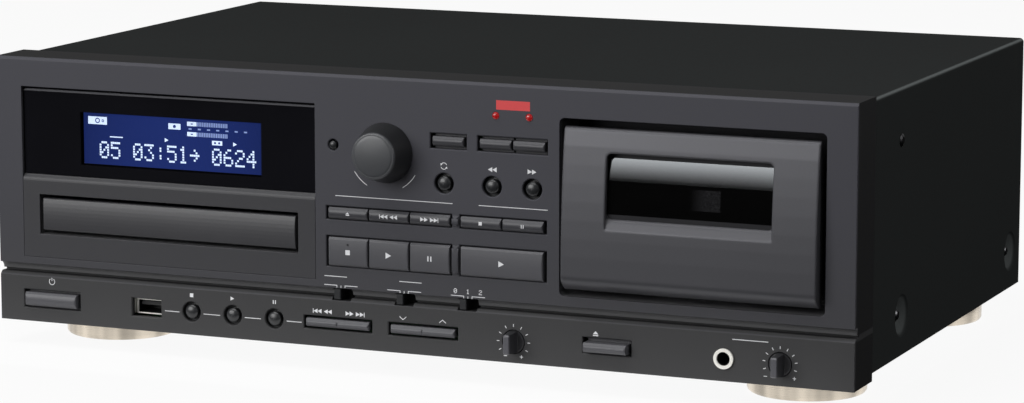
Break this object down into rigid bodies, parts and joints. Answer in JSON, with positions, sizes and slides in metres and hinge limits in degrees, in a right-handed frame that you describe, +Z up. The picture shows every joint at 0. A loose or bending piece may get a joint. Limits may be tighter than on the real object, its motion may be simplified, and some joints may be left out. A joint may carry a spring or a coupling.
{
  "type": "cd and cassette deck",
  "caption": "Audio deck with a sliding disc tray, a swing-down cassette door, transport keys, level knobs and working tape and disc mechanisms.",
  "frame": {"origin": "middle of the overall box at the floor under the feet", "axes": "+X to the right across the front panel, +Y into the cabinet, +Z up"},
  "size_m": [0.435, 0.293, 0.141],
  "materials": {
    "panel_plastic": "fine satin mould texture",
    "key_plastic": "satin",
    "knob_plastic": "satin with a turned face",
    "dark_plastic": "matte",
    "pale_plastic": "natural",
    "foot_plastic": "satin champagne",
    "cover_steel": "fine black paint",
    "chassis_steel": "plated sheet",
    "bright_metal": "plated",
    "alloy": "turned",
    "display": "lit blue display",
    "dark_window": "smoked gloss",
    "clear_window": "clear gloss",
    "lamp": "tinted lens",
    "board": "solder mask",
    "rubber": "matte",
    "screw_steel": "black zinc"
  },
  "bodies": {
    "cabinet": {"front_panel": "panel_plastic", "disc_bezel": "panel_plastic", "display_window": "dark_window", "display_module": "display", "main_chassis": "chassis_steel", "top_cover": "cover_steel", "cover_screws": "screw_steel", "feet": "foot_plastic", "record_lamps": "lamp", "usb_socket": "bright_metal", "mic_jack": "bright_metal", "rear_sockets": "dark_plastic", "mains_inlet": "dark_plastic", "circuit_boards": "board", "power_transformer": "chassis_steel", "tape_mech_plate": "chassis_steel", "capstan_motor": "chassis_steel", "loader_frame": "dark_plastic"},
    "tray": {"tray_front": "panel_plastic", "disc_tray": "dark_plastic"},
    "door": {"cassette_door": "panel_plastic", "cassette_window": "clear_window", "cassette_holder": "dark_plastic"},
    "loader_gear": {"loader_gear": "pale_plastic"},
    "disc_turntable": {"disc_turntable": "dark_plastic"},
    "optical_pickup": {"optical_pickup": "dark_plastic"},
    "supply_reel": {"supply_reel": "pale_plastic"},
    "takeup_reel": {"takeup_reel": "pale_plastic"},
    "capstan_flywheel": {"capstan_flywheel": "alloy"},
    "pinch_roller": {"pinch_roller": "rubber"},
    "head_block": {"head_block": "alloy"},
    "rec_level_knob": {"rec_level_knob": "knob_plastic"},
    "pitch_knob": {"pitch_knob": "knob_plastic"},
    "mic_level_knob": {"mic_level_knob": "knob_plastic"},
    "usb_skip_key": {"usb_skip_key": "key_plastic"},
    "folder_key": {"folder_key": "key_plastic"},
    "start_source_switch": {"start_source_switch": "dark_plastic"},
    "start_mode_switch": {"start_mode_switch": "dark_plastic"},
    "echo_switch": {"echo_switch": "dark_plastic"},
    "source_button": {"source_button": "key_plastic"},
    "rec_usb_button": {"rec_usb_button": "key_plastic"},
    "rec_tape_button": {"rec_tape_button": "key_plastic"},
    "repeat_button": {"repeat_button": "key_plastic"},
    "rewind_button": {"rewind_button": "key_plastic"},
    "fast_forward_button": {"fast_forward_button": "key_plastic"},
    "counter_reset_button": {"counter_reset_button": "key_plastic"},
    "open_close_button": {"open_close_button": "key_plastic"},
    "disc_back_button": {"disc_back_button": "key_plastic"},
    "disc_forward_button": {"disc_forward_button": "key_plastic"},
    "tape_stop_button": {"tape_stop_button": "key_plastic"},
    "tape_pause_button": {"tape_pause_button": "key_plastic"},
    "disc_stop_button": {"disc_stop_button": "key_plastic"},
    "disc_play_button": {"disc_play_button": "key_plastic"},
    "disc_pause_button": {"disc_pause_button": "key_plastic"},
    "tape_play_button": {"tape_play_button": "key_plastic"},
    "usb_stop_button": {"usb_stop_button": "key_plastic"},
    "usb_play_button": {"usb_play_button": "key_plastic"},
    "usb_pause_button": {"usb_pause_button": "key_plastic"},
    "power_button": {"power_button": "key_plastic"},
    "eject_button": {"eject_button": "key_plastic"}
  },
  "joints": [
    {"name": "tray_slide", "type": "slide", "parent": "cabinet", "child": "tray", "axis": [0, -1, 0], "range_m": [0, 0.142]},
    {"name": "loader_gear_turn", "type": "hinge", "parent": "cabinet", "child": "loader_gear", "pos_m": [-0.17115, -0.0995, 0.058], "axis": [0, 0, 1], "continuous": true},
    {"name": "turntable_turn", "type": "hinge", "parent": "cabinet", "child": "disc_turntable", "pos_m": [-0.1254, -0.0555, 0.058], "axis": [0, 0, 1], "continuous": true},
    {"name": "pickup_slide", "type": "slide", "parent": "cabinet", "child": "optical_pickup", "axis": [0, 1, 0], "range_m": [0, 0.034]},
    {"name": "door_hinge", "type": "hinge", "parent": "cabinet", "child": "door", "pos_m": [0.1399, -0.1295, 0.0506], "axis": [1, 0, 0], "range_deg": [0, 25]},
    {"name": "supply_reel_turn", "type": "hinge", "parent": "cabinet", "child": "supply_reel", "pos_m": [0.11865, -0.1135, 0.092], "axis": [0, 1, 0], "continuous": true},
    {"name": "takeup_reel_turn", "type": "hinge", "parent": "cabinet", "child": "takeup_reel", "pos_m": [0.16115, -0.1135, 0.092], "axis": [0, 1, 0], "continuous": true},
    {"name": "capstan_turn", "type": "hinge", "parent": "cabinet", "child": "capstan_flywheel", "pos_m": [0.1569, -0.1035, 0.066], "axis": [0, 1, 0], "continuous": true},
    {"name": "head_slide", "type": "slide", "parent": "cabinet", "child": "head_block", "axis": [0, 0, 1], "range_m": [0, 0.005]},
    {"name": "pinch_swing", "type": "hinge", "parent": "cabinet", "child": "pinch_roller", "pos_m": [0.1729, -0.1165, 0.056], "axis": [0, 1, 0], "range_deg": [0, 8]},
    {"name": "rec_level_turn", "type": "hinge", "parent": "cabinet", "child": "rec_level_knob", "pos_m": [-0.011, -0.1335, 0.1058], "axis": [0, 1, 0], "continuous": true},
    {"name": "pitch_turn", "type": "hinge", "parent": "cabinet", "child": "pitch_knob", "pos_m": [0.0537, -0.1335, 0.0219], "axis": [0, 1, 0], "range_deg": [-140, 140]},
    {"name": "mic_level_turn", "type": "hinge", "parent": "cabinet", "child": "mic_level_knob", "pos_m": [0.1828, -0.1335, 0.0219], "axis": [0, 1, 0], "range_deg": [-140, 140]},
    {"name": "usb_skip_key_rock", "type": "hinge", "parent": "cabinet", "child": "usb_skip_key", "pos_m": [-0.03565, -0.1267, 0.0232], "axis": [0, 0, 1], "range_deg": [-3, 3], "stiffness_Nm_per_rad": 0.05},
    {"name": "folder_key_rock", "type": "hinge", "parent": "cabinet", "child": "folder_key", "pos_m": [0.00815, -0.1267, 0.0232], "axis": [0, 0, 1], "range_deg": [-3, 3], "stiffness_Nm_per_rad": 0.05},
    {"name": "start_source_switch_slide", "type": "slide", "parent": "cabinet", "child": "start_source_switch", "axis": [1, 0, 0], "range_m": [0, 0.0042]},
    {"name": "start_mode_switch_slide", "type": "slide", "parent": "cabinet", "child": "start_mode_switch", "axis": [1, 0, 0], "range_m": [0, 0.0042]},
    {"name": "echo_switch_slide", "type": "slide", "parent": "cabinet", "child": "echo_switch", "axis": [1, 0, 0], "range_m": [0, 0.0042]},
    {"name": "source_button_push", "type": "slide", "parent": "cabinet", "child": "source_button", "axis": [0, 1, 0], "range_m": [0, 0.0008], "stiffness_N_per_m": 300},
    {"name": "rec_usb_button_push", "type": "slide", "parent": "cabinet", "child": "rec_usb_button", "axis": [0, 1, 0], "range_m": [0, 0.0008], "stiffness_N_per_m": 300},
    {"name": "rec_tape_button_push", "type": "slide", "parent": "cabinet", "child": "rec_tape_button", "axis": [0, 1, 0], "range_m": [0, 0.0008], "stiffness_N_per_m": 300},
    {"name": "repeat_button_push", "type": "slide", "parent": "cabinet", "child": "repeat_button", "axis": [0, 1, 0], "range_m": [0, 0.0008], "stiffness_N_per_m": 300},
    {"name": "rewind_button_push", "type": "slide", "parent": "cabinet", "child": "rewind_button", "axis": [0, 1, 0], "range_m": [0, 0.0008], "stiffness_N_per_m": 300},
    {"name": "fast_forward_button_push", "type": "slide", "parent": "cabinet", "child": "fast_forward_button", "axis": [0, 1, 0], "range_m": [0, 0.0008], "stiffness_N_per_m": 300},
    {"name": "counter_reset_button_push", "type": "slide", "parent": "cabinet", "child": "counter_reset_button", "axis": [0, 1, 0], "range_m": [0, 0.0008], "stiffness_N_per_m": 300},
    {"name": "open_close_button_push", "type": "slide", "parent": "cabinet", "child": "open_close_button", "axis": [0, 1, 0], "range_m": [0, 0.0008], "stiffness_N_per_m": 300},
    {"name": "disc_back_button_push", "type": "slide", "parent": "cabinet", "child": "disc_back_button", "axis": [0, 1, 0], "range_m": [0, 0.0008], "stiffness_N_per_m": 300},
    {"name": "disc_forward_button_push", "type": "slide", "parent": "cabinet", "child": "disc_forward_button", "axis": [0, 1, 0], "range_m": [0, 0.0008], "stiffness_N_per_m": 300},
    {"name": "tape_stop_button_push", "type": "slide", "parent": "cabinet", "child": "tape_stop_button", "axis": [0, 1, 0], "range_m": [0, 0.0008], "stiffness_N_per_m": 300},
    {"name": "tape_pause_button_push", "type": "slide", "parent": "cabinet", "child": "tape_pause_button", "axis": [0, 1, 0], "range_m": [0, 0.0008], "stiffness_N_per_m": 300},
    {"name": "disc_stop_button_push", "type": "slide", "parent": "cabinet", "child": "disc_stop_button", "axis": [0, 1, 0], "range_m": [0, 0.0008], "stiffness_N_per_m": 300},
    {"name": "disc_play_button_push", "type": "slide", "parent": "cabinet", "child": "disc_play_button", "axis": [0, 1, 0], "range_m": [0, 0.0008], "stiffness_N_per_m": 300},
    {"name": "disc_pause_button_push", "type": "slide", "parent": "cabinet", "child": "disc_pause_button", "axis": [0, 1, 0], "range_m": [0, 0.0008], "stiffness_N_per_m": 300},
    {"name": "tape_play_button_push", "type": "slide", "parent": "cabinet", "child": "tape_play_button", "axis": [0, 1, 0], "range_m": [0, 0.0008], "stiffness_N_per_m": 300},
    {"name": "usb_stop_button_push", "type": "slide", "parent": "cabinet", "child": "usb_stop_button", "axis": [0, 1, 0], "range_m": [0, 0.0008], "stiffness_N_per_m": 300},
    {"name": "usb_play_button_push", "type": "slide", "parent": "cabinet", "child": "usb_play_button", "axis": [0, 1, 0], "range_m": [0, 0.0008], "stiffness_N_per_m": 300},
    {"name": "usb_pause_button_push", "type": "slide", "parent": "cabinet", "child": "usb_pause_button", "axis": [0, 1, 0], "range_m": [0, 0.0008], "stiffness_N_per_m": 300},
    {"name": "power_button_push", "type": "slide", "parent": "cabinet", "child": "power_button", "axis": [0, 1, 0], "range_m": [0, 0.002], "stiffness_N_per_m": 300},
    {"name": "eject_button_push", "type": "slide", "parent": "cabinet", "child": "eject_button", "axis": [0, 1, 0], "range_m": [0, 0.003], "stiffness_N_per_m": 300}
  ],
  "couplings": [
    {"joint": "loader_gear_turn", "follows": "tray_slide", "rad_per_m": 100},
    {"joint": "pinch_swing", "follows": "head_slide", "rad_per_m": 27.925}
  ]
}
